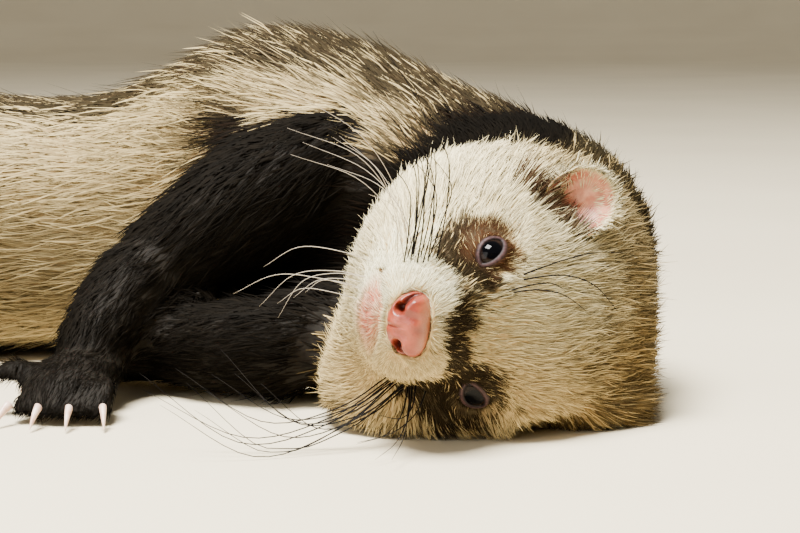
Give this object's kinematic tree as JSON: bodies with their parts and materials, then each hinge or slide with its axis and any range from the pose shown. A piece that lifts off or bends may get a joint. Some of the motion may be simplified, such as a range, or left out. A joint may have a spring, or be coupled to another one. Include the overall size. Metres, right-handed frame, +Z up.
{
  "type": "ferret model",
  "caption": "Life-size still model of a sable ferret lying curled on its left side, head down on its cheek, eyes open, legs drawn in and tail laid along the floor.",
  "frame": {"origin": "on the floor under the middle of the model's bounding box", "axes": "+Z up from the floor; the face looks towards -Y and a little -X, the back is towards +Y, the tail lies at -X"},
  "size_m": [0.2896, 0.29, 0.0798],
  "materials": {
    "face_coat": "short soft fur, cream white with a dark brown mask",
    "neck_coat": "short soft fur, dark brown",
    "body_coat": "soft fur, cream undercoat with dark brown guard hairs",
    "rump_coat": "soft fur, brown guard hairs over cream undercoat",
    "dark_coat": "soft fur, black brown",
    "nose_skin": "moist bare skin, salmon pink",
    "ear_skin": "thin skin with fine short hair, pink inside and white at the rim",
    "eye": "wet and glossy, near black",
    "claw": "pale horn, slightly translucent"
  },
  "bodies": {
    "root": {"head": "face_coat", "neck": "neck_coat", "chest": "body_coat", "belly": "body_coat", "rump": "rump_coat", "tail_root": "dark_coat", "tail_middle": "dark_coat", "tail_tip": "dark_coat", "foreleg_right_upper": "dark_coat", "foreleg_right_lower": "dark_coat", "foreleg_right_foot": "dark_coat", "foreleg_left_upper": "dark_coat", "foreleg_left_lower": "dark_coat", "foreleg_left_foot": "dark_coat", "hindleg_right_upper": "dark_coat", "hindleg_right_lower": "dark_coat", "hindleg_right_foot": "dark_coat", "hindleg_left_upper": "dark_coat", "hindleg_left_lower": "dark_coat", "hindleg_left_foot": "dark_coat", "nose": "nose_skin", "ear_right": "ear_skin", "ear_left": "ear_skin", "eye_right": "eye", "eye_left": "eye", "foreleg_right_claw_1": "claw", "foreleg_right_claw_2": "claw", "foreleg_right_claw_3": "claw", "foreleg_right_claw_4": "claw", "foreleg_right_claw_5": "claw", "foreleg_left_claw_1": "claw", "foreleg_left_claw_2": "claw", "foreleg_left_claw_3": "claw", "foreleg_left_claw_4": "claw", "foreleg_left_claw_5": "claw", "hindleg_right_claw_1": "claw", "hindleg_right_claw_2": "claw", "hindleg_right_claw_3": "claw", "hindleg_right_claw_4": "claw", "hindleg_right_claw_5": "claw", "hindleg_left_claw_1": "claw", "hindleg_left_claw_2": "claw", "hindleg_left_claw_3": "claw", "hindleg_left_claw_4": "claw", "hindleg_left_claw_5": "claw"}
  },
  "joints": []
}
